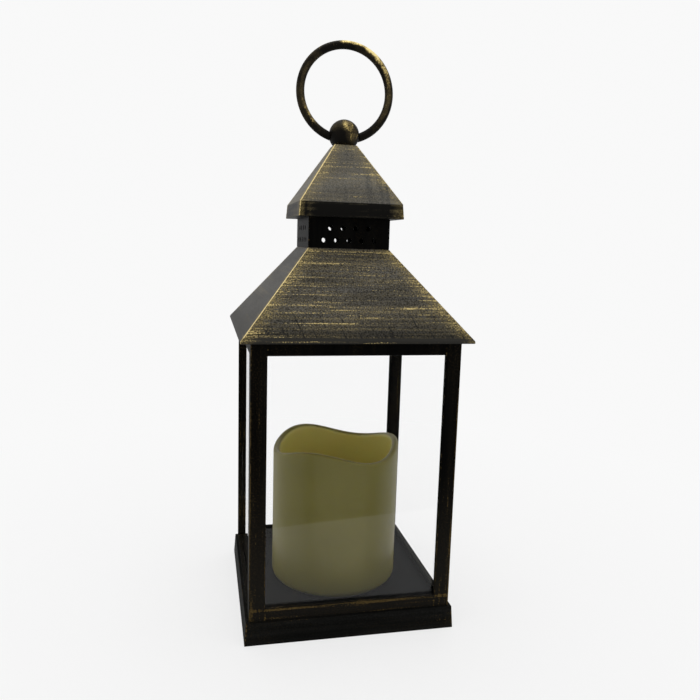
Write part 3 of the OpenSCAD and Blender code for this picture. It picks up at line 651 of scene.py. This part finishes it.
# Candle: a turned wax shell with a soft wavy rim, on four screw bosses
candleLow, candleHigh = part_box("candle_shell")
candle = {
    "radius": candleHigh.x, "wall": 4.4 * mm, "ledge": 0.9 * mm, "foot": candleLow.z, "round": 5 * mm,
    "wave": 3.5 * mm, "lobes": 3, "fade": 24 * mm, "fadeSteps": 5, "belt": 25 * mm,
    "rimOut": (1.8 * mm, 1.5 * mm), "rimIn": (2.6 * mm, 2.8 * mm), "arcSteps": 6,
    "well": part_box("well_floor")[0].z, "bossAt": 32.6 * mm, "bossRadius": 3.4 * mm, "bossHole": 1.35 * mm,
    "bossHeight": 10 * mm, "bossSteps": 24, "steps": 120, "smooth": 50,
}
candle["rim"] = candleHigh.z - candle["wave"]
waxLook = {
    # dark and light: the wax painted darker and olive as painted shade under the roof; well: painted light,
    # lighter and yellower
    "dark": (0.166, 0.146, 0.029), "light": (0.178, 0.158, 0.034), "well": (0.57, 0.52, 0.15),
    "roughness": 0.4, "gloss": 0.35, "clouds": 25.0, "lumps": 40.0, "relief": 0.4 * mm,
    "glow": 0.8, "glowDepth": 6 * mm, "glowTone": (1.0, 0.8, 0.4),
    "wellRadius": candle["radius"] - candle["wall"], "wellBlur": 1.0 * mm,
}


def makeCandle(size):
    r, rim, well = size["radius"], size["rim"], size["radius"] - size["wall"]
    ledge, foot = well - size["ledge"], size["foot"]
    count = size["arcSteps"]
    levels = [rim - size["fade"] * k / size["fadeSteps"] for k in range(1, size["fadeSteps"] + 1)]
    outline = [(ledge, foot), (ledge, size["well"]), (well, size["well"])]
    outline += [(well, z) for z in reversed(levels)]
    outline += arc((well + size["rimIn"][0], rim - size["rimIn"][1]), size["rimIn"], 180, 90, count)
    outline += arc((r - size["rimOut"][0], rim - size["rimOut"][1]), size["rimOut"], 90, 0, count)[1:]
    outline += [(r, z) for z in levels] + [(r, foot + size["belt"])]
    outline += arc((r - size["round"], foot + size["round"]), (size["round"],) * 2, 0, -90, count)
    shell = turned("candle", outline, size["steps"])
    for point in shell.data.vertices:
        share = min(max((point.co.z - rim + size["fade"]) / size["fade"], 0.0), 1.0)
        turn = math.atan2(point.co.y, point.co.x)
        point.co.z += share * share * (3 - 2 * share) * size["wave"] * math.cos(size["lobes"] * turn)
    hole, wide, top = size["bossHole"], size["bossRadius"], foot + size["bossHeight"]
    section = [(hole, foot), (wide, foot), (wide, top), (hole, top)]
    bosses = [turned("boss", section, size["bossSteps"]) for k in range(4)]
    for k, boss in enumerate(bosses):
        turn = math.radians(45 + 90 * k)
        x, y = size["bossAt"] * math.cos(turn), size["bossAt"] * math.sin(turn)
        boss.data.transform(Matrix.Translation((x, y, 0.0)))
    pick(shell, *bosses)
    bpy.ops.object.join()
    smooth(shell, size["smooth"])
    return shell


wax = waxFinish("ivory_wax", waxLook)
standFor(makeCandle(candle), "candle_shell", wax)
dress(nodes["well_floor"], wax)
print("candle turned")

# Even finishes
evenLooks = {
    "base_plastic": {"dark": (0.010, 0.010, 0.010), "light": (0.022, 0.021, 0.020), "roughness": 0.5,
                     "gloss": 0.3, "mottle": (60.0, 60.0, 60.0), "grain": 2500.0, "relief": 0.05 * mm},
    "ivory_plastic": {"dark": (0.62, 0.58, 0.46), "light": (0.72, 0.68, 0.55), "roughness": 0.5,
                      "mottle": (60.0, 60.0, 60.0), "grain": 2000.0, "relief": 0.03 * mm},
    "led_resin": {"dark": (0.85, 0.7, 0.4), "light": (0.95, 0.82, 0.5), "roughness": 0.15,
                  "mottle": (120.0, 120.0, 120.0), "grain": 900.0, "relief": 0.01 * mm},
    "wire_sheath": {"dark": (0.30, 0.02, 0.02), "light": (0.42, 0.04, 0.03), "roughness": 0.4,
                    "mottle": (200.0, 200.0, 200.0), "grain": 3000.0, "relief": 0.02 * mm},
    "cell_can": {"dark": (0.16, 0.18, 0.13), "light": (0.22, 0.25, 0.18), "roughness": 0.35,
                 "metallic": 0.4, "mottle": (80.0, 80.0, 80.0), "grain": 1500.0, "relief": 0.01 * mm},
    "bright_steel": {"dark": (0.42, 0.42, 0.42), "light": (0.62, 0.62, 0.61), "roughness": 0.3,
                     "metallic": 1.0, "mottle": (300.0, 300.0, 300.0), "grain": 2500.0,
                     "relief": 0.02 * mm},
    "board_green": {"dark": (0.02, 0.09, 0.04), "light": (0.04, 0.16, 0.07), "roughness": 0.35,
                    "mottle": (500.0, 100.0, 500.0), "grain": 1500.0, "relief": 0.02 * mm},
    "switch_can": {"dark": (0.45, 0.46, 0.47), "light": (0.6, 0.61, 0.62), "roughness": 0.35,
                   "metallic": 0.6, "mottle": (200.0, 200.0, 200.0), "grain": 2500.0, "relief": 0.01 * mm},
    "knob_black": {"dark": (0.010, 0.010, 0.010), "light": (0.018, 0.018, 0.018), "roughness": 0.45,
                   "mottle": (200.0, 200.0, 200.0), "grain": 3000.0, "relief": 0.03 * mm},
}
evenFinishes = {name: evenFinish(name, look) for name, look in evenLooks.items()}
evenNodes = {
    "battery_box": "base_plastic", "finial_screw": "bright_steel", "candle_screws": "bright_steel",
    "board_screws": "bright_steel", "contact_springs": "bright_steel", "contact_plates": "bright_steel",
    "led_stem": "ivory_plastic", "led_bulb": "led_resin", "led_wires": "wire_sheath",
    "battery_cells": "cell_can", "circuit_board": "board_green", "switch_body": "switch_can",
    "switch_knob": "knob_black", "battery_door": "base_plastic",
}
for node, name in evenNodes.items():
    dress(nodes[node], evenFinishes[name])
evenEased = {"bottom_cover": 0.3 * mm, "top_ring": 0.3 * mm}
for node, width in evenEased.items():
    easedCopy(node, width, evenFinishes["base_plastic"])
print("inner parts dressed")

# Steel screws with a cross recess, seen from below
cross = {"arm": 0.4 * mm, "reach": 1.4 * mm, "depth": 0.8 * mm, "coverAt": 49.3 * mm, "smooth": 35}


def crossedCopy(node, centres, finish):
    piece = solidCopy(node)
    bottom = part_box(node)[0].z
    for x, y in centres:
        for wide, deep in ((cross["reach"], cross["arm"]), (cross["arm"], cross["reach"])):
            deselectAll()
            bpy.ops.mesh.primitive_cube_add(size=2.0)
            arm = bpy.context.object
            arm.data.transform(Matrix.Diagonal((wide, deep, cross["depth"], 1.0)))
            arm.data.transform(Matrix.Translation((x, y, bottom)))
            applyModifier(piece, "BOOLEAN", object=arm, operation="DIFFERENCE", solver="EXACT")
            bpy.data.objects.remove(arm)
    smooth(piece, cross["smooth"])
    standFor(piece, node, finish)


steel = evenFinishes["bright_steel"]
coverPlaces = [(x * cross["coverAt"], y * cross["coverAt"]) for x in (-1, 1) for y in (-1, 1)]
crossedCopy("cover_screws", coverPlaces, steel)
doorScrew = (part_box("door_screw")[0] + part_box("door_screw")[1]) / 2
crossedCopy("door_screw", [(doorScrew.x, doorScrew.y)], steel)
print("screw heads cut")

# Panes
paneLook = {
    "roughness": 0.0, "ior": 1.49, "haze": 30.0, "tint": (0.993, 0.996, 0.996), "clear": (1.0, 1.0, 1.0),
    "behind": 1.5,  # passes through a face after which a pane counts as lying behind another
}
pane = paneFinish("clear_pane", paneLook)
for node in ("front_pane", "back_pane", "left_pane", "right_pane"):
    dress(nodes[node], pane)
print("panes dressed")
